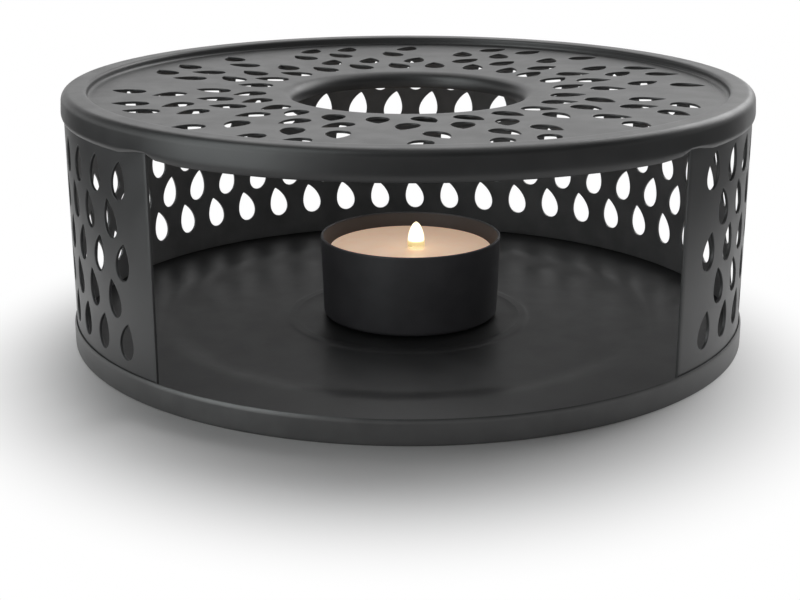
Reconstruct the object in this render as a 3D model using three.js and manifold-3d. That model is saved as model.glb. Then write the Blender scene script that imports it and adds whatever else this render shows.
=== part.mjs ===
// Teapot warmer: a drum of perforated sheet steel, open at the front, with a pressed plate on
// top, a pressed tray below and a tealight standing inside.
// Millimetres, +Z up. The origin is on the table under the middle of the tray. The door faces -Y.
import * as THREE from 'three';
import { mergeGeometries, mergeVertices } from 'three/addons/utils/BufferGeometryUtils.js';
import Module from 'manifold-3d';

const wasm = await Module();
wasm.setup();

// Driving dimensions of the whole warmer
const drumRadius = 72.5;
const drumHeight = 53.5;
const doorAngle = THREE.MathUtils.degToRad(86.5);
const seamGap = 0.3;
const cutOverrun = 1;

// Top plate
const plateSheet = 0.6;
const shoulderRadius = 1.6;
const ringWidth = 4.6;
const recessDepth = 2.1;
const stepRadius = 0.8;
const holeRadius = 24.5;
const collarRadius = 3;
const collarDepth = 3.6;
const skirtDepth = 5.4;
const lipRadius = 0.4;
const hemDrop = 0.5;
const hemInset = 0.3;
const hemOverlap = 0.5;
const hemEndGap = 0.9;
const notchRise = 0.6;
const notchLength = 4.5;

// Teardrops in the top plate and in the wall
const dropLength = 7.6;
const dropWidth = 4.7;
const dropTaper = 0.7;

// Where the plate's teardrops lie
const plateSectors = 8;
const plateTurn = THREE.MathUtils.degToRad(-3.3);
// How many degrees each sector is turned, and how far out it is moved, from an even pattern
const sectorTurns = [2.9, -0.3, -1.3, -1.3, 2.5, 0.2, 0.6, 0.3];
const sectorShifts = [1.5, 1.8, 0.8, 0, 0, 1, 0, 0.3];
const plateDropRings = [
  { bandShare: 0.160, sectorShares: [0.137, 0.470, 0.804], leans: [22, 22, 12] },
  { bandShare: 0.356, sectorShares: [0, 0.330, 0.611], leans: [-15, -15, -30] },
  { bandShare: 0.588, sectorShares: [0.149, 0.473, 0.698], leans: [22, 22, 12] },
  { bandShare: 0.809, sectorShares: [0.051, 0.376, 0.573], leans: [-20, -21, -35] },
];

// Wall band
const wallSheet = 0.7;
const dropSpacing = 9.25;
const doorEdgeMargin = 8.9;
const rowCount = 5;
const rowSpacing = 7.9;
const firstRowHeight = 11.5;
const wallLean = THREE.MathUtils.degToRad(12);
const staggerShare = 0.583;
const foldShare = 0.2915;

// Base tray
const traySheet = 0.6;
const rimHeight = 5.1;
const rimEdgeRadius = 0.5;
const footCornerRadius = 0.3;
const floorHeight = 2.1;
const wellDepth = 0.9;
const wellRadius = 54;
const wellSlopeWidth = 4.5;
const beadRadius = 25.5;
const beadWidth = 3.2;
const beadHeight = 0.7;

// Tealight
const cupRimRadius = 19.8;
const cupBaseRadius = 19.25;
const cupHeight = 17.7;
const cupWall = 0.6;
const cupFloor = 0.6;
const cupCornerRadius = 0.9;
const candleRight = 0.7;
const candleBack = 1.8;
const waxSink = 2.86;
const waxClearance = 1.35;
const meniscusHeight = 0.35;
const meniscusWidth = 1.2;
const wickRadius = 0.7;
const wickRise = 4.2;
const wickBendRight = 1.1;
const wickBendFront = 0.9;
const footDiscRadius = 6.5;
const footDiscThickness = 0.4;
const footNeckWall = 0.35;
const footNeckHeight = 3;

// Facet counts. An arc gets two facets for each of its steps.
const drumSegments = 48;
const cupSegments = 36;
const wickSegments = 12;
const sheetArcSteps = 1;
const cupArcSteps = 2;
const dropSteps = 7;
const hemSteps = 12;
const bendSteps = 4;

// Levels and radii that follow from the sizes above
const plateZ = drumHeight - recessDepth;
const lipZ = drumHeight - skirtDepth;
const fieldInner = holeRadius + collarRadius;
const riserRadius = drumRadius - ringWidth - stepRadius;
const fieldOuter = riserRadius - stepRadius;
const shoulderZ = drumHeight - shoulderRadius;
const wallRadius = drumRadius - Math.max(plateSheet, traySheet) - seamGap;
const wallFoot = floorHeight + seamGap;
const wellZ = floorHeight - wellDepth;
const cupZ = wellZ + seamGap;
const cupTaper = (cupRimRadius - cupBaseRadius) / cupHeight;
const waxFoot = cupFloor + seamGap;
const waxTop = cupHeight - waxSink;
const wickFoot = waxFoot + footDiscThickness + seamGap;
const neckBore = wickRadius + seamGap;
const neckRadius = neckBore + footNeckWall;
const neckTop = waxFoot + footDiscThickness + footNeckHeight;

const quarter = Math.PI / 2;

// Colours and finishes read from the photo
const coating = { color: 0x2e2f30, roughness: 0.46, metalness: 0.0 };
const finishes = {
  top_plate: coating,
  wall_band: coating,
  base_tray: coating,
  candle_cup: { color: 0x1b1c1f, roughness: 0.5, metalness: 0.0 },
  wax_candle: { color: 0xe6cdb8, roughness: 0.35, metalness: 0.0 },
  wick: { color: 0x2c241e, roughness: 0.9, metalness: 0.0 },
  wick_sustainer: { color: 0xb9b8b2, roughness: 0.35, metalness: 1.0 },
};

// A closed mesh as a solid, and back again
function toSolid(geometry) {
  const bare = geometry.index ? geometry.toNonIndexed() : geometry.clone();
  bare.deleteAttribute('normal');
  bare.deleteAttribute('uv');
  const merged = mergeVertices(bare);
  const index = merged.index.array;
  const kept = [];
  for (let i = 0; i < index.length; i += 3) {
    const [a, b, c] = [index[i], index[i + 1], index[i + 2]];
    if (a !== b && b !== c && c !== a) kept.push(a, b, c);
  }
  return new wasm.Manifold(new wasm.Mesh({
    numProp: 3,
    vertProperties: new Float32Array(merged.attributes.position.array),
    triVerts: new Uint32Array(kept),
  }));
}

function toGeometry(solid) {
  const mesh = solid.getMesh();
  const geometry = new THREE.BufferGeometry();
  geometry.setAttribute('position', new THREE.BufferAttribute(mesh.vertProperties, 3));
  geometry.setIndex(new THREE.BufferAttribute(mesh.triVerts, 1));
  geometry.computeVertexNormals();
  return geometry;
}

// A radius-and-height outline turned about the upright axis
function turned(outline, segments, steps = sheetArcSteps) {
  const points = outline.getPoints(steps);
  if (THREE.ShapeUtils.isClockWise(points)) points.reverse();
  return new THREE.LatheGeometry(points, segments).rotateX(quarter);
}

// A teardrop with its tip at +Y, centred on its own middle
function teardrop() {
  const swellAt = (t) => Math.sin(t) * Math.abs(Math.sin(t / 2)) ** dropTaper;
  const fullest = 2 * Math.atan(Math.sqrt(1 + dropTaper));
  const points = [];
  for (let i = 0; i < dropSteps; i++) {
    const t = (2 * Math.PI * i) / dropSteps;
    const side = swellAt(t) / swellAt(fullest);
    points.push(new THREE.Vector2((-side * dropWidth) / 2, (Math.cos(t) * dropLength) / 2));
  }
  return new THREE.Shape(points);
}

// Cutters for all the teardrops of one piece, as one set of prisms
function plateCutters() {
  const depth = plateSheet + 2 * cutOverrun;
  const sector = (2 * Math.PI) / plateSectors;
  const cutters = [];
  for (const ring of plateDropRings) {
    const bandRadius = THREE.MathUtils.lerp(fieldInner, fieldOuter, ring.bandShare);
    for (let k = 0; k < plateSectors; k++) {
      const radius = bandRadius + sectorShifts[k];
      const turn = plateTurn + THREE.MathUtils.degToRad(sectorTurns[k]);
      ring.sectorShares.forEach((share, i) => {
        const place = turn + (k + share) * sector;
        const prism = new THREE.ExtrudeGeometry(teardrop(), { depth, bevelEnabled: false });
        prism.rotateZ(THREE.MathUtils.degToRad(ring.leans[i]));
        prism.translate(0, radius, plateZ - plateSheet - cutOverrun);
        prism.rotateZ(place - quarter);
        cutters.push(prism);
      });
    }
  }
  return toSolid(mergeGeometries(cutters));
}

// The drops' columns run round the back from door edge to door edge
function wallColumns() {
  const span = 2 * Math.PI - doorAngle;
  const pitch = dropSpacing / wallRadius;
  const count = Math.floor((span - (2 * doorEdgeMargin) / wallRadius) / pitch) + 1;
  const first = Math.PI - ((count - 1) / 2) * pitch;
  return { pitch, count, first };
}

function wallCutters() {
  const { pitch, count, first } = wallColumns();
  const depth = wallSheet + 2 * cutOverrun;
  const cutters = [];
  for (let row = 0; row < rowCount; row++) {
    const odd = row % 2;
    for (let k = 0; k < count - odd; k++) {
      const prism = new THREE.ExtrudeGeometry(teardrop(), { depth, bevelEnabled: false });
      prism.rotateZ(odd ? wallLean : -wallLean);
      prism.translate(0, 0, wallRadius - wallSheet - cutOverrun);
      prism.rotateX(quarter);
      prism.translate(0, 0, firstRowHeight + row * rowSpacing);
      prism.rotateZ(first + (k + odd * staggerShare) * pitch);
      cutters.push(prism);
    }
  }
  return toSolid(mergeGeometries(cutters));
}

// A ring sector that faces -Y, as an outline of straight facets between the given angles
function sectorShape(inner, outer, angles) {
  const at = (radius) => (angle) =>
    new THREE.Vector2(radius * Math.sin(angle), -radius * Math.cos(angle));
  return new THREE.Shape([...angles.map(at(outer)), ...angles.map(at(inner)).reverse()]);
}

// The pressed plate's section: collar, sunk field, raised ring, shoulder, skirt
function topPlate() {
  const t = plateSheet;
  const outline = new THREE.Path();
  outline.moveTo(holeRadius, plateZ - collarDepth);
  outline.lineTo(holeRadius, plateZ - collarRadius);
  outline.absarc(fieldInner, plateZ - collarRadius, collarRadius, Math.PI, quarter, true);
  outline.lineTo(fieldOuter, plateZ);
  outline.absarc(fieldOuter, plateZ + stepRadius, stepRadius, -quarter, 0, false);
  outline.lineTo(riserRadius, drumHeight - stepRadius);
  outline.absarc(riserRadius + stepRadius, drumHeight - stepRadius, stepRadius, Math.PI, quarter, true);
  outline.lineTo(drumRadius - shoulderRadius, drumHeight);
  outline.absarc(drumRadius - shoulderRadius, shoulderZ, shoulderRadius, quarter, 0, true);
  outline.lineTo(drumRadius, lipZ + lipRadius);
  outline.absarc(drumRadius - lipRadius, lipZ + lipRadius, lipRadius, 0, -quarter, true);
  outline.lineTo(drumRadius - t, lipZ);
  outline.lineTo(drumRadius - t, shoulderZ);
  outline.absarc(drumRadius - shoulderRadius, shoulderZ, shoulderRadius - t, 0, quarter, false);
  outline.lineTo(riserRadius + stepRadius, drumHeight - t);
  outline.absarc(riserRadius + stepRadius, drumHeight - stepRadius, stepRadius - t, quarter, Math.PI, false);
  outline.lineTo(riserRadius + t, plateZ + stepRadius);
  outline.absarc(fieldOuter, plateZ + stepRadius, stepRadius + t, 0, -quarter, true);
  outline.lineTo(fieldInner, plateZ - t);
  outline.absarc(fieldInner, plateZ - collarRadius, collarRadius - t, quarter, Math.PI, false);
  outline.lineTo(holeRadius + t, plateZ - collarDepth);
  outline.closePath();
  const plate = toSolid(turned(outline, drumSegments));
  return toGeometry(plate.subtract(hemNotches()).add(toSolid(doorHem())).subtract(plateCutters()));
}

// Over the door the skirt's hem hangs a little lower
const hemHalfAngle = () => doorAngle / 2 - hemEndGap / wallRadius;

function doorHem() {
  const outer = drumRadius - hemInset;
  const half = hemHalfAngle();
  const angles = [];
  for (let i = 0; i <= hemSteps; i++) angles.push(-half + (2 * half * i) / hemSteps);
  const hem = new THREE.ExtrudeGeometry(sectorShape(outer - plateSheet, outer, angles),
    { depth: hemDrop + hemOverlap, bevelEnabled: false });
  return hem.translate(0, 0, lipZ - hemDrop);
}

// Beside each end of the hem the skirt is drawn up over the edge of the door
function hemNotches() {
  const from = hemHalfAngle();
  const to = from + notchLength / drumRadius;
  const sides = [[from, to], [-to, -from]].map((angles) => {
    const shape = sectorShape(wallRadius + seamGap / 2, drumRadius + cutOverrun, angles);
    const notch = new THREE.ExtrudeGeometry(shape,
      { depth: notchRise + cutOverrun, bevelEnabled: false });
    return notch.translate(0, 0, lipZ - cutOverrun);
  });
  return toSolid(mergeGeometries(sides));
}

// The wall is folded between the columns, so that no fold crosses a drop
function wallBand() {
  const { pitch, count, first } = wallColumns();
  const start = doorAngle / 2;
  const end = 2 * Math.PI - start;
  const angles = [start];
  for (let k = -1; k < count; k++) angles.push(first + (k + foldShare) * pitch);
  angles.push(end);
  const shape = sectorShape(wallRadius - wallSheet, wallRadius, angles);
  const band = new THREE.ExtrudeGeometry(shape, { depth: shoulderZ - wallFoot, bevelEnabled: false });
  band.translate(0, 0, wallFoot);
  return toGeometry(toSolid(band).subtract(wallCutters()));
}

// The pressed tray's section: seat, bead, well, floor, rim, foot
function baseTray() {
  const t = traySheet;
  const rimInner = drumRadius - t;
  const footInner = rimInner - t;
  const bead = (path, z, direction) => {
    const half = (direction * beadWidth) / 2;
    path.lineTo(beadRadius - half, z);
    path.lineTo(beadRadius - half / 2, z + beadHeight);
    path.lineTo(beadRadius + half / 2, z + beadHeight);
    path.lineTo(beadRadius + half, z);
  };
  const outline = new THREE.Path();
  outline.moveTo(0, wellZ);
  bead(outline, wellZ, 1);
  outline.lineTo(wellRadius - wellSlopeWidth, wellZ);
  outline.lineTo(wellRadius, floorHeight);
  outline.lineTo(rimInner, floorHeight);
  outline.lineTo(rimInner, rimHeight);
  outline.lineTo(drumRadius - rimEdgeRadius, rimHeight);
  outline.absarc(drumRadius - rimEdgeRadius, rimHeight - rimEdgeRadius, rimEdgeRadius, quarter, 0, true);
  outline.lineTo(drumRadius, footCornerRadius);
  outline.lineTo(drumRadius - footCornerRadius, 0);
  outline.lineTo(footInner, 0);
  outline.lineTo(footInner, floorHeight - t);
  outline.lineTo(wellRadius, floorHeight - t);
  outline.lineTo(wellRadius - wellSlopeWidth, wellZ - t);
  bead(outline, wellZ - t, -1);
  outline.lineTo(0, wellZ - t);
  return turned(outline, drumSegments);
}

// The tealight's cup, with a rounded bottom edge and a rounded rim
function candleCup() {
  const rimRound = cupWall / 2;
  const rimZ = cupHeight - rimRound;
  const cornerRadius = cupBaseRadius + cupTaper * cupCornerRadius;
  const outline = new THREE.Path();
  outline.moveTo(0, 0);
  outline.lineTo(cornerRadius - cupCornerRadius, 0);
  outline.absarc(cornerRadius - cupCornerRadius, cupCornerRadius, cupCornerRadius, -quarter, 0, false);
  outline.lineTo(cupRimRadius, rimZ);
  outline.absarc(cupRimRadius - rimRound, rimZ, rimRound, 0, Math.PI, false);
  outline.lineTo(cupBaseRadius + cupTaper * cupFloor - cupWall, cupFloor);
  outline.lineTo(0, cupFloor);
  return turned(outline, cupSegments, cupArcSteps);
}

// The wax, with a bore for the wick and a pocket under it for the wick's foot
function waxCandle() {
  const pocketRadius = footDiscRadius + seamGap;
  const pocketTop = waxFoot + footDiscThickness + seamGap;
  const neckPocket = neckRadius + seamGap;
  const sideAt = (z) => cupBaseRadius + cupTaper * z - cupWall - waxClearance;
  const outline = new THREE.Path();
  outline.moveTo(pocketRadius, waxFoot);
  outline.lineTo(sideAt(waxFoot), waxFoot);
  outline.lineTo(sideAt(waxTop), waxTop);
  outline.lineTo(sideAt(waxTop) - meniscusWidth, waxTop - meniscusHeight);
  outline.lineTo(neckBore, waxTop - meniscusHeight);
  outline.lineTo(neckBore, neckTop + seamGap);
  outline.lineTo(neckPocket, neckTop + seamGap);
  outline.lineTo(neckPocket, pocketTop);
  outline.lineTo(pocketRadius, pocketTop);
  outline.closePath();
  return turned(outline, cupSegments);
}

// The wick: straight in its neck and through the wax, then bent over where it burns
function candleWick() {
  const top = waxTop + wickRise;
  const path = new THREE.CurvePath();
  const foot = new THREE.Vector3(0, 0, wickFoot);
  const bend = new THREE.Vector3(0, 0, waxTop);
  const knee = new THREE.Vector3(0, 0, (waxTop + top) / 2);
  const tip = new THREE.Vector3(wickBendRight, -wickBendFront, top);
  path.add(new THREE.QuadraticBezierCurve3(foot, foot.clone().lerp(bend, 1 / 2), bend));
  path.add(new THREE.QuadraticBezierCurve3(bend, knee, tip));
  const section = new THREE.Shape().absarc(0, 0, wickRadius, 0, 2 * Math.PI);
  return new THREE.ExtrudeGeometry(new THREE.Shape(section.getPoints(wickSegments / 2).slice(1)),
    { extrudePath: path, steps: 2 * bendSteps, bevelEnabled: false });
}

// The tin foot under the wax: a disc with a neck round the wick
function wickSustainer() {
  const discTop = waxFoot + footDiscThickness;
  const outline = new THREE.Path();
  outline.moveTo(0, waxFoot);
  outline.lineTo(footDiscRadius, waxFoot);
  outline.lineTo(footDiscRadius, discTop);
  outline.lineTo(neckRadius, discTop);
  outline.lineTo(neckRadius, neckTop);
  outline.lineTo(neckBore, neckTop);
  outline.lineTo(neckBore, discTop);
  outline.lineTo(0, discTop);
  return turned(outline, wickSegments);
}

function piece(name, geometry) {
  const mesh = new THREE.Mesh(geometry, new THREE.MeshStandardMaterial(finishes[name]));
  mesh.name = name;
  return mesh;
}

const tealight = new THREE.Group();
tealight.position.set(candleRight, candleBack, cupZ);
tealight.add(piece('candle_cup', candleCup()));
tealight.add(piece('wax_candle', waxCandle()));
tealight.add(piece('wick', candleWick()));
tealight.add(piece('wick_sustainer', wickSustainer()));

const warmer = new THREE.Group();
warmer.add(piece('top_plate', topPlate()));
warmer.add(piece('wall_band', wallBand()));
warmer.add(piece('base_tray', baseTray()));
warmer.add(tealight);

export default warmer;
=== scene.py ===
import math

import bmesh
import bpy
from mathutils import Matrix, Vector


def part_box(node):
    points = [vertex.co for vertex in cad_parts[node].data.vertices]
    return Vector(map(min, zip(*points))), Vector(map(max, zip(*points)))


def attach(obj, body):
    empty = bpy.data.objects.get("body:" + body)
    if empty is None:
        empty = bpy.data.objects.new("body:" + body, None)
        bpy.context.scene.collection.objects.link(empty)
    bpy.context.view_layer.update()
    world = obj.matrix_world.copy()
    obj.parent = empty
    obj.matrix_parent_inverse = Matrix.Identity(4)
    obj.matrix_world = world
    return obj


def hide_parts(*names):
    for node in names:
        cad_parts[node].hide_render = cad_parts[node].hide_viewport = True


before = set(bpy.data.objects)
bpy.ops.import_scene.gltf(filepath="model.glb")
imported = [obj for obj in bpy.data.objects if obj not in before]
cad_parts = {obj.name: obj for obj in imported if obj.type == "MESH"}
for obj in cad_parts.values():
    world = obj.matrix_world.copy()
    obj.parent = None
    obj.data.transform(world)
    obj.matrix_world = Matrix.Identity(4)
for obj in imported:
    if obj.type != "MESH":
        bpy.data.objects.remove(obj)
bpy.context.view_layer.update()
mm = 0.001

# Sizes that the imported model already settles
plateLow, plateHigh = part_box("top_plate")
wallLow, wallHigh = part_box("wall_band")
cupLow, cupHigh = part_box("candle_cup")
waxLow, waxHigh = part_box("wax_candle")
drumRadius = plateHigh.x
drumTop = plateHigh.z
cupCentre = Vector(((cupLow.x + cupHigh.x) / 2, (cupLow.y + cupHigh.y) / 2, 0))
cupRadius = (cupHigh.x - cupLow.x) / 2


def smoothStep(value, start, end):
    share = min(1, max(0, (value - start) / (end - start)))
    return share * share * (3 - 2 * share)


# Limits that the modelling helpers share
weldReach = 0.001 * mm
insetWidth = 0.02 * mm
sharpAngle = math.radians(50)


# Turns a profile round the middle line. Corners are (radius, height, rounding, roundingSteps).
def turnProfile(bm, corners, steps, closed=False):
    verts = [bm.verts.new((corner[0], 0, corner[1])) for corner in corners]
    for a, b in zip(verts, verts[1:]):
        bm.edges.new((a, b))
    if closed:
        bm.edges.new((verts[-1], verts[0]))
    for vert, corner in zip(verts, corners):
        if len(corner) > 2:
            bmesh.ops.bevel(bm, geom=[vert], offset=corner[2], segments=corner[3], profile=0.5,
                            affect="VERTICES", material=-1)
    bmesh.ops.spin(bm, geom=bm.verts[:] + bm.edges[:], cent=(0, 0, 0), dvec=(0, 0, 0),
                   axis=(0, 0, 1), angle=2 * math.pi, steps=steps, use_merge=True)
    bmesh.ops.remove_doubles(bm, verts=bm.verts, dist=weldReach)


def pointsOut(bm):
    bmesh.ops.recalc_face_normals(bm, faces=bm.faces)


def pointsUp(bm):
    pointsOut(bm)
    widest = max(bm.faces, key=lambda face: face.calc_area())
    if widest.normal.z < 0:
        bmesh.ops.reverse_faces(bm, faces=bm.faces)


# Moves a face's corners onto places, which run anticlockwise from the teardrop's tip
def shapeFace(face, places):
    verts = [loop.vert for loop in face.loops]
    start = min(range(len(verts)), key=lambda i: (verts[i].co - places[0]).length)
    for i, place in enumerate(places):
        verts[(start + i) % len(verts)].co = place


# The one punch that cut the plate and the wall
dropSizes = {
    "length": 7.6 * mm,
    "width": 4.7 * mm,
    "taper": 0.7,
}


def dropSwell(t):
    return math.sin(t) * abs(math.sin(t / 2)) ** dropSizes["taper"]


def teardropOutline(grow, count, turn, centre):
    d = dropSizes
    fullest = 2 * math.atan(math.sqrt(1 + d["taper"]))
    places = []
    for i in range(count):
        t = -2 * math.pi * i / count
        x = dropSwell(t) / dropSwell(fullest) * d["width"] / 2
        y = math.cos(t) * d["length"] / 2
        places.append(Vector((x, y, 0)))
    grown = []
    for i, place in enumerate(places):
        along = places[(i + 1) % count] - places[i - 1]
        out = Vector((along.y, -along.x, 0)).normalized() if i else Vector((0, 1, 0))
        grown.append(place + out * grow)
    return [Matrix.Rotation(turn, 4, "Z") @ place + centre for place in grown]


def insetTo(bm, face, places):
    bmesh.ops.inset_individual(bm, faces=[face], thickness=insetWidth)
    shapeFace(face, places)


# Rounds every sharp edge of a sheet that has its thickness
def softenRims(bm, width, steps):
    sharp = [e for e in bm.edges if e.is_manifold and e.calc_face_angle() > sharpAngle]
    bmesh.ops.bevel(bm, geom=sharp, offset=width, segments=steps, profile=0.5,
                    affect="EDGES", material=-1)


def finishPiece(bm, name, material, body, slot, *nodes):
    for face in bm.faces:
        face.smooth = True
    mesh = bpy.data.meshes.new(name)
    bm.to_mesh(mesh)
    bm.free()
    piece = bpy.data.objects.new(name, mesh)
    bpy.context.scene.collection.objects.link(piece)
    mesh.materials.append(material)
    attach(piece, body)
    if nodes:
        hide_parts(*nodes)
    print(name, len(mesh.polygons), "faces")
    return piece


# Top plate: one pressed sheet, with its teardrops cut in the sunk field
plateSizes = {
    "sheet": 0.5 * mm,
    "holeRadius": 24.5 * mm,
    "collarDepth": 3.35 * mm,
    "collarRound": 2.4 * mm,
    "fieldInner": 27.5 * mm,
    "recessDepth": 1.75 * mm,
    "dishDepth": 0.7 * mm,
    "dishCurve": 1.7,
    "riserRadius": 67.1 * mm,
    "stepRound": 0.7 * mm,
    "shoulderRound": 1.6 * mm,
    "skirtFlare": 0.25 * mm,
    "lipRise": 0.5 * mm,
    "lipTurn": 0.8 * mm,
    "lipInset": 0.4 * mm,
    "hemDrop": 0.45 * mm,
    "hemEndDrop": 0.05 * mm,
    "hemFull": 36.0,
    "hemStep": 41.4,
    "hemStart": 42.8,
    "notchRise": 0.85 * mm,
    "notchFrom": 44.0,
    "notchTo": 50.0,
    "flatEdge": 0.3 * mm,
    "dropEdge": 0.11 * mm,
    "dropPoints": 36,
    "bandReach": 5 * mm,
    "levelSlack": 0.01 * mm,
    "sectors": 8,
    "turn": -3.3,
    "steps": 360,
}
# How each sector of the pattern is turned and moved out from an even spacing
sectorTurns = [2.9, -0.3, -1.3, -1.3, 2.5, 0.2, 0.6, 0.3]
sectorShifts = [1.5 * mm, 1.8 * mm, 0.8 * mm, 0, 0, 1 * mm, 0, 0.3 * mm]
plateRings = [
    {"bandShare": 0.160, "sectorShares": [0.137, 0.470, 0.804], "leans": [22, 22, 12]},
    {"bandShare": 0.356, "sectorShares": [0, 0.330, 0.611], "leans": [-15, -15, -30]},
    {"bandShare": 0.588, "sectorShares": [0.149, 0.473, 0.698], "leans": [22, 22, 12]},
    {"bandShare": 0.809, "sectorShares": [0.051, 0.376, 0.573], "leans": [-20, -21, -35]},
]


# Puts a rimmed face at each teardrop, to be cut out once the flat is filled round them
def plateDrops(bm, plateZ, fieldInner, fieldOuter):
    p = plateSizes
    drops = []
    for ring in plateRings:
        bandRadius = fieldInner + (fieldOuter - fieldInner) * ring["bandShare"]
        for sector in range(p["sectors"]):
            radius = bandRadius + sectorShifts[sector]
            turn = p["turn"] + sectorTurns[sector]
            for share, lean in zip(ring["sectorShares"], ring["leans"]):
                place = math.radians(turn + (sector + share) * 360 / p["sectors"])
                centre = Vector((radius * math.cos(place), radius * math.sin(place), plateZ))
                slant = place - math.pi / 2 + math.radians(lean)
                ends = [teardropOutline(grow, p["dropPoints"], slant, centre)
                        for grow in (2 * p["dropEdge"], 0)]
                made = bmesh.ops.create_circle(bm, cap_ends=True, segments=p["dropPoints"],
                                               radius=dropSizes["width"] / 2,
                                               matrix=Matrix.Translation(centre))
                face = made["verts"][0].link_faces[0]
                if face.normal.z < 0:
                    bmesh.ops.reverse_faces(bm, faces=[face])
                shapeFace(face, ends[0])
                insetTo(bm, face, ends[1])
                drops.append(face)
    return drops


# Over the door the lip hangs lower, and beside each end of it the lip is drawn up a little
def lipShift(angle):
    p = plateSizes
    if angle > p["hemStart"]:
        return p["notchRise"] * (1 - smoothStep(angle, p["notchFrom"], p["notchTo"]))
    hang = 1 - smoothStep(angle, p["hemFull"], p["hemStep"])
    low = -p["hemEndDrop"] - (p["hemDrop"] - p["hemEndDrop"]) * hang
    return low + (p["notchRise"] - low) * smoothStep(angle, p["hemStep"], p["hemStart"])


def shapeLip(bm, lipZ):
    p = plateSizes
    reach = 2 * p["lipTurn"]
    for vert in bm.verts:
        if vert.co.z < lipZ + reach and vert.co.xy.length > p["riserRadius"]:
            angle = abs(math.degrees(math.atan2(vert.co.x, -vert.co.y)))
            vert.co.z += lipShift(angle) * min(1, (lipZ + reach - vert.co.z) / reach)


# The field sinks a little further from its edge to the hole
def dishField(bm, fieldOuter):
    p = plateSizes
    for vert in bm.verts:
        share = (fieldOuter - vert.co.xy.length) / (fieldOuter - p["holeRadius"])
        if share > 0:
            vert.co.z -= p["dishDepth"] * min(1, share) ** p["dishCurve"]


def makeTopPlate(material):
    p = plateSizes
    plateZ = drumTop - p["recessDepth"]
    lipZ = plateLow.z + p["lipRise"]
    fieldInner = p["fieldInner"]
    fieldOuter = p["riserRadius"] - p["stepRound"]
    bm = bmesh.new()
    turnProfile(bm, [
        (p["holeRadius"], plateZ - p["collarDepth"]),
        (p["holeRadius"], plateZ, p["collarRound"], 8),
        (fieldInner + p["flatEdge"], plateZ),
        (fieldOuter - p["flatEdge"], plateZ),
        (p["riserRadius"], plateZ, p["stepRound"], 5),
        (p["riserRadius"], drumTop, p["stepRound"], 5),
        (p["riserRadius"] + 2 * p["stepRound"], drumTop),
        (drumRadius - 1.5 * p["shoulderRound"], drumTop),
        (drumRadius - p["skirtFlare"], drumTop, p["shoulderRound"], 8),
        (drumRadius, lipZ + 2 * p["lipTurn"]),
        (drumRadius, lipZ + p["lipTurn"], p["lipTurn"] / 2, 3),
        (drumRadius - p["lipInset"], lipZ),
    ], p["steps"])
    middle = (fieldInner + fieldOuter) / 2
    wide = [f for f in bm.faces
            if abs(f.calc_center_median().xy.length - middle) < p["bandReach"]]
    bmesh.ops.delete(bm, geom=wide, context="FACES_ONLY")
    bmesh.ops.delete(bm, geom=[e for e in bm.edges if e.is_wire], context="EDGES")
    drops = plateDrops(bm, plateZ, fieldInner, fieldOuter)
    rims = [e for e in bm.edges
            if e.is_boundary and abs(e.verts[0].co.z - plateZ) < p["levelSlack"]]
    bmesh.ops.triangle_fill(bm, use_beauty=True, use_dissolve=False, edges=rims, normal=(0, 0, 1))
    bmesh.ops.delete(bm, geom=drops, context="FACES")
    pointsUp(bm)
    bmesh.ops.solidify(bm, geom=bm.faces[:], thickness=p["sheet"])
    softenRims(bm, p["dropEdge"], 2)
    dishField(bm, fieldOuter)
    shapeLip(bm, lipZ)
    return finishPiece(bm, "pressed_plate", material, "frame", "coated_steel", "top_plate")


# Wall: a strip cut flat, cell by cell round its teardrops, then rolled round the drum
wallSizes = {
    "sheet": 0.6 * mm,
    "play": 0.05 * mm,
    "footDrop": 0.2 * mm,
    "dropEdge": 0.1 * mm,
    "spacing": 9.295 * mm,
    "rowSpacing": 7.9 * mm,
    "firstRow": 11.5 * mm,
    "rows": 5,
    "columns": 36,
    "cellColumns": 12,
    "cellRows": 8,
    "staggerColumns": 7,
    "edgeColumns": 5,
    "bandRows": 4,
    "weldReach": 0.005 * mm,
    "lean": 12,
    "climb": 0.23 * mm,
    "doorAngle": 86.5,
}


def addGrid(bm, left, right, low, high, columns, rows):
    place = Matrix.Translation(((left + right) / 2, (low + high) / 2, 0))
    size = Matrix.Diagonal((right - left, high - low, 1, 1))
    return bmesh.ops.create_grid(bm, x_segments=columns, y_segments=rows, size=0.5,
                                 matrix=place @ size)["verts"]


# One cell of the wall: a rectangle whose faces run round a teardrop
def dropCell(bm, centre, lean):
    w = wallSizes
    halfWidth = w["spacing"] / 2
    halfHeight = w["rowSpacing"] / 2
    verts = addGrid(bm, centre.x - halfWidth, centre.x + halfWidth, centre.y - halfHeight,
                    centre.y + halfHeight, w["cellColumns"], w["cellRows"])
    faces = list({face for vert in verts for face in vert.link_faces})
    face = bmesh.ops.dissolve_faces(bm, faces=faces, use_verts=False)["region"][0]
    count = 2 * (w["cellColumns"] + w["cellRows"])
    for grow in (2 * w["dropEdge"], 0):
        insetTo(bm, face, teardropOutline(grow, count, lean, centre))
    bmesh.ops.delete(bm, geom=[face], context="FACES")


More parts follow.
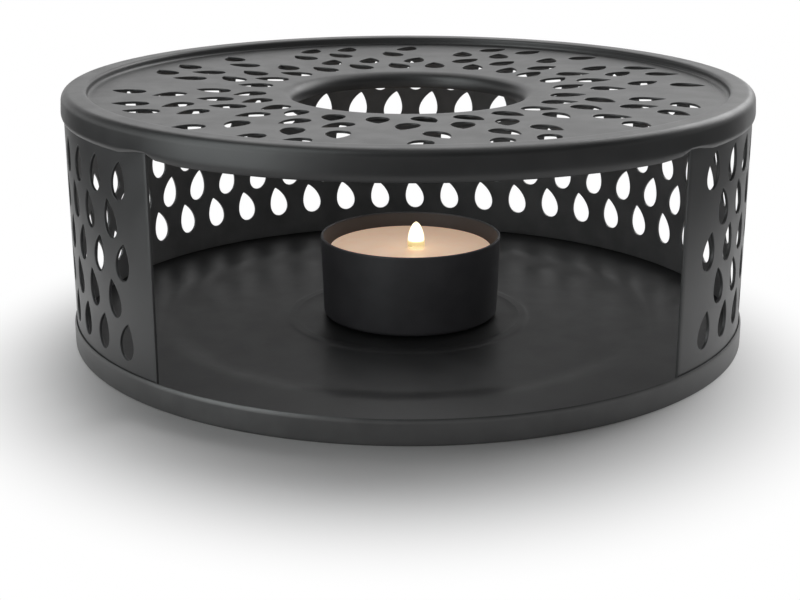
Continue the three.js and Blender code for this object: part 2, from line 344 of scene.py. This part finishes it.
def makeWall(material):
    w = wallSizes
    wallRadius = drumRadius - plateSizes["sheet"] - w["play"]
    end = wallRadius * (math.pi - math.radians(w["doorAngle"]) / 2)
    column = w["spacing"] / w["cellColumns"]
    lastCentre = (w["columns"] - 1) / 2 * w["spacing"]
    cellsEnd = lastCentre + w["spacing"] / 2
    rowsLow = w["firstRow"] - w["rowSpacing"] / 2
    rowsHigh = rowsLow + w["rows"] * w["rowSpacing"]
    across = w["columns"] * w["cellColumns"]
    bm = bmesh.new()
    foot = wallLow.z - w["footDrop"]
    for low, high in ((foot, rowsLow), (rowsHigh, wallHigh.z)):
        addGrid(bm, -end, -cellsEnd, low, high, w["edgeColumns"], w["bandRows"])
        addGrid(bm, -cellsEnd, cellsEnd, low, high, across, w["bandRows"])
        addGrid(bm, cellsEnd, end, low, high, w["edgeColumns"], w["bandRows"])
    for row in range(w["rows"]):
        odd = row % 2
        lean = w["lean"] if odd else -w["lean"]
        low = rowsLow + row * w["rowSpacing"]
        high = low + w["rowSpacing"]
        shift = odd * w["staggerColumns"] * column
        addGrid(bm, -end, -cellsEnd, low, high, w["edgeColumns"], w["cellRows"])
        addGrid(bm, cellsEnd, end, low, high, w["edgeColumns"], w["cellRows"])
        if odd:
            spare = w["cellColumns"] - w["staggerColumns"]
            addGrid(bm, -cellsEnd, shift - cellsEnd, low, high, w["staggerColumns"], w["cellRows"])
            addGrid(bm, cellsEnd - spare * column, cellsEnd, low, high, spare, w["cellRows"])
        for k in range(w["columns"] - odd):
            centre = Vector((k * w["spacing"] - lastCentre + shift, (low + high) / 2, 0))
            dropCell(bm, centre, math.radians(lean))
    bmesh.ops.remove_doubles(bm, verts=bm.verts, dist=w["weldReach"])
    bmesh.ops.solidify(bm, geom=bm.faces[:], thickness=w["sheet"])
    softenRims(bm, w["dropEdge"], 2)
    for vert in bm.verts:
        angle = vert.co.x / wallRadius
        radius = wallRadius + vert.co.z
        inRows = smoothStep(vert.co.y, foot, rowsLow) * smoothStep(vert.co.y, wallHigh.z, rowsHigh)
        height = vert.co.y - w["climb"] * angle * inRows
        vert.co = (-radius * math.sin(angle), radius * math.cos(angle), height)
    return finishPiece(bm, "rolled_wall", material, "frame", "coated_steel", "wall_band")


# Tray: floor, shallow well and bead, upright rim
traySizes = {
    "sheet": 0.5 * mm,
    "rimHeight": 5.1 * mm,
    "rimDraw": 0.6 * mm,
    "grooveWidth": 0.14 * mm,
    "grooveDepth": 0.4 * mm,
    "footRound": 0.35 * mm,
    "floorHeight": 2.1 * mm,
    "floorRound": 0.5 * mm,
    "wellDepth": 0.9 * mm,
    "wellRadius": 54 * mm,
    "slopeWidth": 4.5 * mm,
    "slopeRound": 1.6 * mm,
    "beadRadius": 25.5 * mm,
    "beadWidth": 3.2 * mm,
    "beadHeight": 0.2 * mm,
    "beadRound": 0.8 * mm,
    "steps": 256,
}


def makeTray(material):
    t = traySizes
    wellZ = t["floorHeight"] - t["wellDepth"]
    beadTop = wellZ + t["beadHeight"]
    rimInner = drumRadius - t["sheet"]
    footInner = rimInner - t["sheet"]
    under = t["floorHeight"] - t["sheet"]
    bm = bmesh.new()
    turnProfile(bm, [
        (0, wellZ),
        (t["beadRadius"] - t["beadWidth"], wellZ),
        (t["beadRadius"] - t["beadWidth"] / 2, wellZ, t["beadRound"], 4),
        (t["beadRadius"] - t["beadWidth"] / 4, beadTop, t["beadRound"] / 2, 4),
        (t["beadRadius"] + t["beadWidth"] / 4, beadTop, t["beadRound"] / 2, 4),
        (t["beadRadius"] + t["beadWidth"] / 2, wellZ, t["beadRound"], 4),
        (t["beadRadius"] + t["beadWidth"], wellZ),
        (t["wellRadius"] - t["slopeWidth"] - 2 * t["slopeRound"], wellZ),
        (t["wellRadius"] - t["slopeWidth"], wellZ, t["slopeRound"], 5),
        (t["wellRadius"], t["floorHeight"], t["slopeRound"], 5),
        (t["wellRadius"] + 2 * t["slopeRound"], t["floorHeight"]),
        (rimInner - 2 * t["floorRound"], t["floorHeight"]),
        (rimInner, t["floorHeight"], t["floorRound"], 4),
        (rimInner, t["rimHeight"] - t["grooveDepth"]),
        (rimInner + t["grooveWidth"], t["rimHeight"], t["sheet"] / 16, 2),
        (rimInner + 1.5 * t["grooveWidth"], t["rimHeight"], t["sheet"] / 16, 2),
        (drumRadius, t["rimHeight"] - t["rimDraw"], t["rimDraw"] / 2, 6),
        (drumRadius, 2 * t["footRound"]),
        (drumRadius, 0, t["footRound"], 3),
        (footInner, 0, t["footRound"] / 2, 2),
        (footInner, under, t["footRound"] / 2, 2),
        (t["wellRadius"], under, t["slopeRound"], 5),
        (t["wellRadius"] - t["slopeWidth"], wellZ - t["sheet"], t["slopeRound"], 5),
        (0, wellZ - t["sheet"]),
    ], t["steps"])
    pointsOut(bm)
    return finishPiece(bm, "pressed_tray", material, "frame", "coated_steel", "base_tray")


# Tealight cup
cupSizes = {
    "wall": 0.6 * mm,
    "floor": 0.6 * mm,
    "taper": 0.55 * mm,
    "cornerRound": 0.9 * mm,
    "rimOuterRound": 0.3 * mm,
    "rimInnerRound": 0.28 * mm,
    "innerRound": 1 * mm,
    "steps": 160,
}


def makeCup(material):
    c = cupSizes
    height = cupHigh.z - cupLow.z
    inner = cupRadius - c["wall"]
    bm = bmesh.new()
    turnProfile(bm, [
        (0, 0),
        (cupRadius - c["taper"] - 2 * c["cornerRound"], 0),
        (cupRadius - c["taper"], 0, c["cornerRound"], 8),
        (cupRadius, height - 2 * c["rimOuterRound"]),
        (cupRadius, height, c["rimOuterRound"], 5),
        (inner, height, c["rimInnerRound"], 4),
        (inner, height - 2 * c["rimInnerRound"]),
        (inner - c["taper"], c["floor"], c["innerRound"], 6),
        (0, c["floor"]),
    ], c["steps"])
    pointsOut(bm)
    bmesh.ops.translate(bm, verts=bm.verts, vec=cupCentre + Vector((0, 0, cupLow.z)))
    return finishPiece(bm, "moulded_cup", material, "tealight", "cup_shell", "candle_cup")


# Wax, wick and flame
candleSizes = {
    "poolDepth": 0.35 * mm,
    "rimWidth": 1.2 * mm,
    "edgeRound": 0.3 * mm,
    "wickHug": 0.55 * mm,
    "neckRoom": 1.7 * mm,
    "pocketRadius": 6.8 * mm,
    "pocketDepth": 0.7 * mm,
    "strands": 3,
    "strandRadius": 0.29 * mm,
    "strandPlace": 0.33 * mm,
    "wickTurns": 3.5,
    "wickSteps": 96,
    "wickRise": 4.0 * mm,
    "charFrom": -0.2 * mm,
    "charTo": 1.2 * mm,
    "bendRight": 1.2 * mm,
    "bendFront": 0.8 * mm,
    "flameWidth": 3.85 * mm,
    "flameHeight": 6.0 * mm,
    "steps": 128,
}
footLow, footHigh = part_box("wick_sustainer")


def makeWax(material):
    w = candleSizes
    radius = (waxHigh.x - waxLow.x) / 2
    poolZ = waxHigh.z - w["poolDepth"]
    neckTop = footHigh.z + w["edgeRound"]
    bm = bmesh.new()
    turnProfile(bm, [
        (w["wickHug"], poolZ + w["edgeRound"]),
        (w["wickHug"] + 1.5 * w["edgeRound"], poolZ, w["edgeRound"], 4),
        (radius - 2 * w["rimWidth"], poolZ),
        (radius - w["rimWidth"] / 2, poolZ + w["edgeRound"] / 3, w["rimWidth"] / 3, 4),
        (radius, waxHigh.z, w["edgeRound"] / 2, 3),
        (radius - cupSizes["taper"], waxLow.z, w["edgeRound"], 3),
        (w["pocketRadius"], waxLow.z),
        (w["pocketRadius"], waxLow.z + w["pocketDepth"]),
        (w["neckRoom"], waxLow.z + w["pocketDepth"]),
        (w["neckRoom"], neckTop),
        (w["wickHug"], neckTop),
    ], w["steps"], closed=True)
    pointsOut(bm)
    bmesh.ops.translate(bm, verts=bm.verts, vec=cupCentre)
    return finishPiece(bm, "poured_wax", material, "candle", "wax", "wax_candle")


# How far the wick has bent over at a height above its foot
def wickBend(height):
    w = candleSizes
    share = max(0, height - (waxHigh.z - footLow.z)) / w["wickRise"]
    return Vector((w["bendRight"] * share ** 2, -w["bendFront"] * share ** 2, 0))


def makeWick(material):
    w = candleSizes
    start = footHigh.z - footLow.z
    tall = waxHigh.z + w["wickRise"] - footHigh.z
    bm = bmesh.new()
    for strand in range(w["strands"]):
        turn = Matrix.Rotation(2 * math.pi * strand / w["strands"], 4, "Z")
        place = Matrix.Translation((w["strandPlace"], 0, start))
        verts = bmesh.ops.create_circle(bm, cap_ends=False, segments=12, radius=w["strandRadius"],
                                        matrix=turn @ place)["verts"]
        edges = list({edge for vert in verts for edge in vert.link_edges})
        bmesh.ops.spin(bm, geom=verts + edges, cent=(0, 0, 0), axis=(0, 0, 1),
                       dvec=(0, 0, tall / w["wickSteps"]), angle=2 * math.pi * w["wickTurns"],
                       steps=w["wickSteps"], use_merge=False)
    bmesh.ops.holes_fill(bm, edges=[e for e in bm.edges if e.is_boundary], sides=12)
    pointsOut(bm)
    for vert in bm.verts:
        vert.co += wickBend(vert.co.z)
    bmesh.ops.translate(bm, verts=bm.verts, vec=cupCentre + Vector((0, 0, footLow.z)))
    return finishPiece(bm, "braided_wick", material, "candle", "wick_cotton", "wick")


def makeFlame(material):
    w = candleSizes
    half = w["flameWidth"] / 2
    tall = w["flameHeight"]
    bm = bmesh.new()
    turnProfile(bm, [
        (0, 0),
        (0.97 * half, 0, 0.1 * half, 3),
        (half, 0.34 * tall, 0.5 * half, 5),
        (0.8 * half, 0.68 * tall, 0.5 * half, 5),
        (0.36 * half, 0.92 * tall, 0.25 * half, 5),
        (0, tall),
    ], 48)
    pointsOut(bm)
    foot = cupCentre + wickBend(waxHigh.z + w["wickRise"] - footLow.z)
    foot.z = waxHigh.z - w["poolDepth"] / 2
    bmesh.ops.translate(bm, verts=bm.verts, vec=foot)
    return finishPiece(bm, "flame", material, "candle", "wick_cotton")


# Shader helpers. A value that is a socket is linked, and any other is set.
def addNode(tree, kind, values=(), **settings):
    node = tree.nodes.new("ShaderNode" + kind)
    for name, value in settings.items():
        setattr(node, name, value)
    for name, value in dict(values).items():
        if isinstance(value, bpy.types.NodeSocket):
            tree.links.new(value, node.inputs[name])
        else:
            node.inputs[name].default_value = value
    return node


def newMaterial(name):
    material = bpy.data.materials.new(name)
    material.use_nodes = True
    material.node_tree.nodes.clear()
    return material, material.node_tree


def putOut(tree, shader):
    addNode(tree, "OutputMaterial", {"Surface": shader})


def addMath(tree, operation, first, second=0.0, clamp=False):
    return addNode(tree, "Math", {0: first, 1: second}, operation=operation,
                   use_clamp=clamp).outputs[0]


def addRange(tree, value, low, high, first=0.0, last=1.0):
    return addNode(tree, "MapRange", {"Value": value, "From Min": low, "From Max": high,
                                      "To Min": first, "To Max": last},
                   interpolation_type="SMOOTHSTEP").outputs[0]


def blendColours(tree, share, first, second):
    node = addNode(tree, "Mix", {0: share, 6: first, 7: second}, data_type="RGBA")
    return node.outputs[2]


# Fine grain and blotches that all the solid finishes share, each with its own values
def makeGrainGroup():
    group = bpy.data.node_groups.new("fineGrain", "ShaderNodeTree")
    for name, value in (("Grain Size", 0.4), ("Depth", 0.02), ("Blotch Size", 9.0)):
        socket = group.interface.new_socket(name, in_out="INPUT", socket_type="NodeSocketFloat")
        socket.default_value = value
    group.interface.new_socket("Normal", in_out="OUTPUT", socket_type="NodeSocketVector")
    group.interface.new_socket("Blotches", in_out="OUTPUT", socket_type="NodeSocketFloat")
    given = group.nodes.new("NodeGroupInput")
    place = addNode(group, "TexCoord").outputs["Object"]
    grainScale = addMath(group, "DIVIDE", 1 / mm, given.outputs["Grain Size"])
    blotchScale = addMath(group, "DIVIDE", 1 / mm, given.outputs["Blotch Size"])
    grain = addNode(group, "TexNoise", {"Vector": place, "Scale": grainScale, "Detail": 3.0,
                                        "Roughness": 0.6}).outputs["Fac"]
    blotches = addNode(group, "TexNoise", {"Vector": place, "Scale": blotchScale, "Detail": 4.0,
                                           "Roughness": 0.55}).outputs["Fac"]
    depth = addMath(group, "MULTIPLY", given.outputs["Depth"], mm)
    normal = addNode(group, "Bump", {"Strength": 1.0, "Distance": depth,
                                     "Height": grain}).outputs["Normal"]
    result = group.nodes.new("NodeGroupOutput")
    group.links.new(normal, result.inputs["Normal"])
    group.links.new(blotches, result.inputs["Blotches"])
    return group


grainGroup = makeGrainGroup()


def addGrain(tree, grainSize, depth, blotchSize):
    node = tree.nodes.new("ShaderNodeGroup")
    node.node_tree = grainGroup
    node.inputs["Grain Size"].default_value = grainSize
    node.inputs["Depth"].default_value = depth
    node.inputs["Blotch Size"].default_value = blotchSize
    return node.outputs["Normal"], node.outputs["Blotches"]


# The blotches spread over a range of values
def addBlotches(tree, blotches, first=0.0, last=1.0):
    return addRange(tree, blotches, 0.3, 0.7, first, last)


# The level vector from the middle line to a place, and its length
def addReach(tree, place):
    level = addNode(tree, "VectorMath", {0: place, 1: (1, 1, 0)},
                    operation="MULTIPLY").outputs["Vector"]
    return level, addNode(tree, "VectorMath", {0: level}, operation="LENGTH").outputs["Value"]


# Where painted light goes on the coat: the inside of the wall and the outside of the tray's rim
maskSizes = {
    "wallFrom": 68.5 * mm,
    "wallTo": 70.5 * mm,
    "inwardFrom": -0.3,
    "inwardTo": -0.7,
    "footFrom": 5.4 * mm,
    "footTo": 4.8 * mm,
    "rimFrom": 72.1 * mm,
    "rimTo": 72.4 * mm,
}


# One where a face of the wall looks at the candle, where the coat is painted much lighter as
# painted light inside the drum
def addInside(tree):
    m = maskSizes
    coords = addNode(tree, "TexCoord")
    level, reach = addReach(tree, coords.outputs["Object"])
    outward = addNode(tree, "VectorMath", {0: level}, operation="NORMALIZE").outputs["Vector"]
    facing = addNode(tree, "VectorMath", {0: coords.outputs["Normal"], 1: outward},
                     operation="DOT_PRODUCT").outputs["Value"]
    inward = addRange(tree, facing, m["inwardFrom"], m["inwardTo"])
    onWall = addRange(tree, reach, m["wallFrom"], m["wallTo"])
    return addMath(tree, "MULTIPLY", inward, onWall)


# One on the outside of the tray's rim, where the coat is painted paler as painted light from the
# floor beside it
def addFoot(tree):
    m = maskSizes
    place = addNode(tree, "TexCoord").outputs["Object"]
    height = addNode(tree, "SeparateXYZ", {0: place}).outputs["Z"]
    reach = addReach(tree, place)[1]
    low = addRange(tree, height, m["footFrom"], m["footTo"])
    return addMath(tree, "MULTIPLY", low, addRange(tree, reach, m["rimFrom"], m["rimTo"]))


# Each coat's colour lies between a darker and a lighter one
coatColours = {
    "pressed": ((0.026, 0.0267, 0.0273, 1), (0.030, 0.0306, 0.0312, 1)),
    "rolled": ((0.054, 0.055, 0.056, 1), (0.062, 0.063, 0.064, 1)),
    # Painted light: the inside of the wall, much lighter, standing in for the light that fills the
    # drum
    "paintedInnerLight": ((0.19, 0.19, 0.193, 1), (0.24, 0.24, 0.243, 1)),
    # Painted light: the outside of the tray's rim, paler, standing in for light reflected from the
    # floor beside it
    "paintedRimLight": ((0.10, 0.101, 0.101, 1), (0.12, 0.121, 0.121, 1)),
}


# Satin powder coat, painted paler on the outside of the tray's rim as painted light from the
# bright floor beside it, and painted much lighter on the inside of the wall as painted light that
# fills the drum
def makeCoat(name, clean):
    material, tree = newMaterial(name)
    normal, blotches = addGrain(tree, 0.45, 0.012, 7.0)
    blotchy = addBlotches(tree, blotches)
    plain, paintedInnerLight, paintedRimLight = (blendColours(tree, blotchy, *coatColours[kind])
                           for kind in (clean, "paintedInnerLight", "paintedRimLight"))
    # Painted light from the floor on the outside of the tray's rim
    colour = blendColours(tree, addFoot(tree), plain, paintedRimLight)
    # Painted light inside the drum, on the faces of the wall that look at the candle
    colour = blendColours(tree, addInside(tree), colour, paintedInnerLight)
    roughness = addBlotches(tree, blotches, 0.37, 0.43)
    shader = addNode(tree, "BsdfPrincipled", {"Base Color": colour, "Roughness": roughness,
                                              "Specular IOR Level": 0.5, "Normal": normal})
    putOut(tree, shader.outputs[0])
    return material


def makeCupShell():
    material, tree = newMaterial("cupShell")
    normal, blotches = addGrain(tree, 0.8, 0.01, 5.0)
    colour = blendColours(tree, addBlotches(tree, blotches),
                          (0.055, 0.054, 0.060, 1), (0.066, 0.065, 0.071, 1))
    roughness = addBlotches(tree, blotches, 0.46, 0.56)
    shader = addNode(tree, "BsdfPrincipled", {"Base Color": colour, "Roughness": roughness,
                                              "Specular IOR Level": 0.5, "Normal": normal})
    putOut(tree, shader.outputs[0])
    return material


def makeWaxLook():
    material, tree = newMaterial("waxPaintedGlow")
    normal, blotches = addGrain(tree, 3.0, 0.03, 4.0)
    colour = blendColours(tree, addBlotches(tree, blotches),
                          (0.86, 0.66, 0.50, 1), (0.90, 0.72, 0.56, 1))
    # The emission is painted light: the wax glows warm all over as if the flame lit it
    shader = addNode(tree, "BsdfPrincipled", {
        "Base Color": colour, "Roughness": 0.36, "Normal": normal, "Subsurface Weight": 0.6,
        "Subsurface Radius": (1.0, 0.6, 0.35), "Subsurface Scale": 1.5 * mm,
        "Emission Color": (1.0, 0.67, 0.47, 1), "Emission Strength": 0.375,
    })
    putOut(tree, shader.outputs[0])
    return material


def makeWickCotton():
    material, tree = newMaterial("wickCotton")
    place = addNode(tree, "TexCoord").outputs["Object"]
    height = addNode(tree, "SeparateXYZ", {0: place}).outputs["Z"]
    normal, blotches = addGrain(tree, 0.15, 0.03, 0.6)
    charred = addRange(tree, height, waxHigh.z + candleSizes["charFrom"],
                       waxHigh.z + candleSizes["charTo"])
    bare = blendColours(tree, blotches, (0.60, 0.50, 0.38, 1), (0.72, 0.62, 0.48, 1))
    colour = blendColours(tree, charred, bare, (0.012, 0.010, 0.009, 1))
    shader = addNode(tree, "BsdfPrincipled", {"Base Color": colour, "Roughness": 0.85,
                                              "Normal": normal})
    putOut(tree, shader.outputs[0])
    return material


def makeTin():
    material, tree = newMaterial("tinPlate")
    normal, blotches = addGrain(tree, 0.25, 0.01, 2.0)
    roughness = addBlotches(tree, blotches, 0.22, 0.42)
    shader = addNode(tree, "BsdfPrincipled", {"Base Color": (0.72, 0.71, 0.69, 1), "Metallic": 1.0,
                                              "Roughness": roughness, "Normal": normal})
    putOut(tree, shader.outputs[0])
    return material


# Where the flame changes, as shares of its height, with its colours and how brightly they glow
flameGlow = {
    "sideFrom": 0.25,
    "sideTo": 0.85,
    "footFrom": 0.40,
    "footTo": 0.22,
    "tipFrom": 0.86,
    "clearFrom": 0.26,
    "clearMost": 0.75,
    "core": (1.0, 0.88, 0.66, 1),
    "edge": (1.0, 0.82, 0.54, 1),
    "foot": (0.95, 0.72, 0.32, 1),
    "coreBright": 3.0,
    "edgeBright": 1.2,
    "footBright": 0.95,
}


# White in its core, yellow at its sides and foot, nearly clear where it meets the wick
def makeFlameLook():
    material, tree = newMaterial("flameGlow")
    w = candleSizes
    g = flameGlow
    low = waxHigh.z - w["poolDepth"] / 2
    place = addNode(tree, "TexCoord").outputs["Object"]
    height = addNode(tree, "SeparateXYZ", {0: place}).outputs["Z"]
    share = addNode(tree, "MapRange", {"Value": height, "From Min": low,
                                       "From Max": low + w["flameHeight"]}).outputs[0]
    facing = addNode(tree, "LayerWeight", {"Blend": 0.5}).outputs["Facing"]
    side = addRange(tree, facing, g["sideFrom"], g["sideTo"])
    foot = addRange(tree, share, g["footFrom"], g["footTo"])
    tip = addRange(tree, share, g["tipFrom"], 1.0)
    edge = addMath(tree, "MAXIMUM", side, tip)
    colour = blendColours(tree, edge, g["core"], g["edge"])
    colour = blendColours(tree, foot, colour, g["foot"])
    bright = addRange(tree, edge, 0, 1, g["coreBright"], g["edgeBright"])
    bright = addRange(tree, foot, 0, 1, bright, g["footBright"])
    glow = addNode(tree, "Emission", {"Color": colour, "Strength": bright})
    clear = addNode(tree, "BsdfTransparent")
    thin = addRange(tree, share, g["clearFrom"], 0.0, 0.0, g["clearMost"])
    shader = addNode(tree, "MixShader", {0: thin, 1: glow.outputs[0], 2: clear.outputs[0]})
    putOut(tree, shader.outputs[0])
    return material


coat = makeCoat("satinCoat", "pressed")
wallCoat = makeCoat("wallCoat", "rolled")
cupShell = makeCupShell()
waxLook = makeWaxLook()
wickCotton = makeWickCotton()
tin = makeTin()
flameLook = makeFlameLook()
print("materials made")

makeTopPlate(coat)
makeWall(wallCoat)
makeTray(coat)
makeCup(cupShell)
makeWax(waxLook)
makeWick(wickCotton)
flame = makeFlame(flameLook)
flame.visible_shadow = False
sustainer = bpy.data.objects["wick_sustainer"]
sustainer.data.materials.clear()
sustainer.data.materials.append(tin)
print("pieces made")


# Floor: a strip of white paper that keeps the shadow and whitens away from the object
floorSizes = {
    "left": -0.148,
    "right": 0.162,
    "front": -0.18,
    "back": 2.5,
    "whiteFrom": 0.060,
    "whiteTo": 0.107,
    "whiteCentre": (-0.003, -0.018, 0),
    "whiteScale": (1.1, 1.0, 0.0),
    "paper": (0.9, 0.9, 0.9, 1),
    "white": (1, 1, 1, 1),
}


def makeFloor():
    material, tree = newMaterial("paperFloor")
    place = addNode(tree, "TexCoord").outputs["Object"]
    shift = addNode(tree, "VectorMath", {0: place, 1: floorSizes["whiteCentre"]},
                    operation="SUBTRACT").outputs["Vector"]
    scaled = addNode(tree, "VectorMath", {0: shift, 1: floorSizes["whiteScale"]},
                     operation="MULTIPLY").outputs["Vector"]
    reach = addNode(tree, "VectorMath", {0: scaled}, operation="LENGTH").outputs["Value"]
    seen = addNode(tree, "LightPath")
    rays = addMath(tree, "ADD", seen.outputs["Is Camera Ray"], seen.outputs["Is Glossy Ray"])
    rays = addMath(tree, "ADD", rays, seen.outputs["Is Transmission Ray"], clamp=True)
    far = addRange(tree, reach, floorSizes["whiteFrom"], floorSizes["whiteTo"])
    share = addMath(tree, "MULTIPLY", rays, far)
    paper = addNode(tree, "BsdfDiffuse", {"Color": floorSizes["paper"]})
    white = addNode(tree, "Emission", {"Color": floorSizes["white"], "Strength": 1.0})
    shader = addNode(tree, "MixShader", {0: share, 1: paper.outputs[0], 2: white.outputs[0]})
    putOut(tree, shader.outputs[0])
    bm = bmesh.new()
    addGrid(bm, floorSizes["left"], floorSizes["right"], floorSizes["front"],
            floorSizes["back"], 1, 1)
    mesh = bpy.data.meshes.new("floor")
    bm.to_mesh(mesh)
    bm.free()
    mesh.materials.append(material)
    floor = bpy.data.objects.new("floor", mesh)
    bpy.context.scene.collection.objects.link(floor)


makeFloor()


# Camera at the photograph's angle
cameraSizes = {
    "place": (-13.03 * mm, -317.02 * mm, 104.82 * mm),
    "turn": (72.429, 0, -2.05),
    "lens": 67.25,
    "sensor": 36,
    "clipStart": 10 * mm,
}
cameraData = bpy.data.cameras.new("camera")
cameraData.lens = cameraSizes["lens"]
cameraData.sensor_width = cameraSizes["sensor"]
cameraData.clip_start = cameraSizes["clipStart"]
camera = bpy.data.objects.new("camera", cameraData)
camera.location = cameraSizes["place"]
camera.rotation_euler = [math.radians(angle) for angle in cameraSizes["turn"]]
bpy.context.scene.collection.objects.link(camera)
bpy.context.scene.camera = camera


# World: white low behind the object, brighter on the right, dark at the sides, and in front a
# band along the horizon that is brighter on the left. Ranges are of the direction's X, Y or Z,
# and then of the light there.
worldSizes = {
    "behindLean": 0.12,
    "behind": (0.64, 0.94),
    "backAcross": (-0.3, 0.35, 1.05, 1.06),
    "backUp": (0.25, 0.6, 1.0, 0.6),
    "bandFoot": (-0.03, 0.03),
    "bandTop": (0.45, 0.2),
    "bandAcross": (0.5, -0.5, 0.4, 0.68),
    "frontLeast": 0.1,
    "seen": 1.0,
}


def makeWorld():
    w = worldSizes
    world = bpy.data.worlds.new("studio")
    world.use_nodes = True
    tree = world.node_tree
    tree.nodes.clear()
    place = addNode(tree, "TexCoord").outputs["Generated"]
    axes = addNode(tree, "SeparateXYZ", {0: place})
    x, y, z = (axes.outputs[axis] for axis in "XYZ")
    turned = addMath(tree, "ADD", y, addMath(tree, "MULTIPLY", x, w["behindLean"]))
    behind = addRange(tree, turned, *w["behind"])
    across = addRange(tree, x, *w["backAcross"])
    back = addMath(tree, "MULTIPLY", across, addRange(tree, z, *w["backUp"]))
    band = addMath(tree, "MULTIPLY", addRange(tree, z, *w["bandFoot"]),
                   addRange(tree, z, *w["bandTop"]))
    band = addMath(tree, "MULTIPLY", band, addRange(tree, x, *w["bandAcross"]))
    front = addMath(tree, "ADD", band, w["frontLeast"])
    seen = addNode(tree, "LightPath")
    rays = addMath(tree, "ADD", seen.outputs["Is Camera Ray"], seen.outputs["Is Transmission Ray"],
                   clamp=True)
    lit = addNode(tree, "Mix", {0: behind, 2: front, 3: back}).outputs[0]
    level = addNode(tree, "Mix", {0: rays, 2: lit, 3: w["seen"]}).outputs[0]
    light = addNode(tree, "Background", {"Color": (1, 1, 1, 1), "Strength": level})
    addNode(tree, "OutputWorld", {"Surface": light.outputs[0]})
    bpy.context.scene.world = world


makeWorld()


# Softboxes and fills, and cards that only show as soft reflections. All of them face the object.
lampTarget = Vector((0, 0, 0.03))
lamps = [
    {"name": "softboxTop", "place": (0.12, 0.36, 0.55), "size": (0.8, 0.55), "power": 1.7,
     "colour": (1, 1, 1), "card": False},
    {"name": "cardLeft", "place": (-0.175, -0.14, 0.06), "size": (0.15, 0.12), "power": 0.16,
     "colour": (0.95, 1.0, 1.0), "card": True},
    {"name": "cardHigh", "place": (-0.36, -0.2, 0.42), "size": (0.35, 0.35), "power": 1.3,
     "colour": (0.95, 1.0, 1.0), "card": True},
    {"name": "cardTop", "place": (0.0, -0.12, 0.6), "size": (0.6, 0.35), "power": 0.23,
     "colour": (1, 1, 1), "card": True},
    {"name": "fillLeft", "place": (-0.7, 0.0, 0.35), "size": (0.5, 0.4), "power": 0.3,
     "colour": (0.95, 1.0, 1.0), "card": False},
    {"name": "fillRight", "place": (0.48, 0.48, 0.42), "size": (0.5, 0.4), "power": 2.0,
     "colour": (1, 1, 1), "card": False},
]


def addLamp(name, place, size, power, colour, card):
    data = bpy.data.lights.new(name, "AREA")
    data.shape = "RECTANGLE"
    data.size, data.size_y = size
    data.energy = power
    data.color = colour
    lamp = bpy.data.objects.new(name, data)
    lamp.location = place
    lamp.rotation_euler = (lampTarget - lamp.location).to_track_quat("-Z", "Y").to_euler()
    lamp.visible_diffuse = not card
    bpy.context.scene.collection.objects.link(lamp)


for lamp in lamps:
    addLamp(**lamp)


# The flame's own light, which follows the candle
flameLightSizes = {
    "power": 0.0002,
    "colour": (1.0, 0.80, 0.58),
    "radius": 2 * mm,
    "fromWax": (1.5 * mm, -0.8 * mm, 5 * mm),
}
flameLight = bpy.data.lights.new("flameLight", "POINT")
flameLight.energy = flameLightSizes["power"]
flameLight.color = flameLightSizes["colour"]
flameLight.shadow_soft_size = flameLightSizes["radius"]
flameLamp = bpy.data.objects.new("flameLight", flameLight)
flameLamp.location = (cupCentre + Vector((0, 0, waxHigh.z))
                      + Vector(flameLightSizes["fromWax"]))
flameLamp.parent = flame
bpy.context.scene.collection.objects.link(flameLamp)

bpy.context.scene.view_settings.view_transform = "Standard"
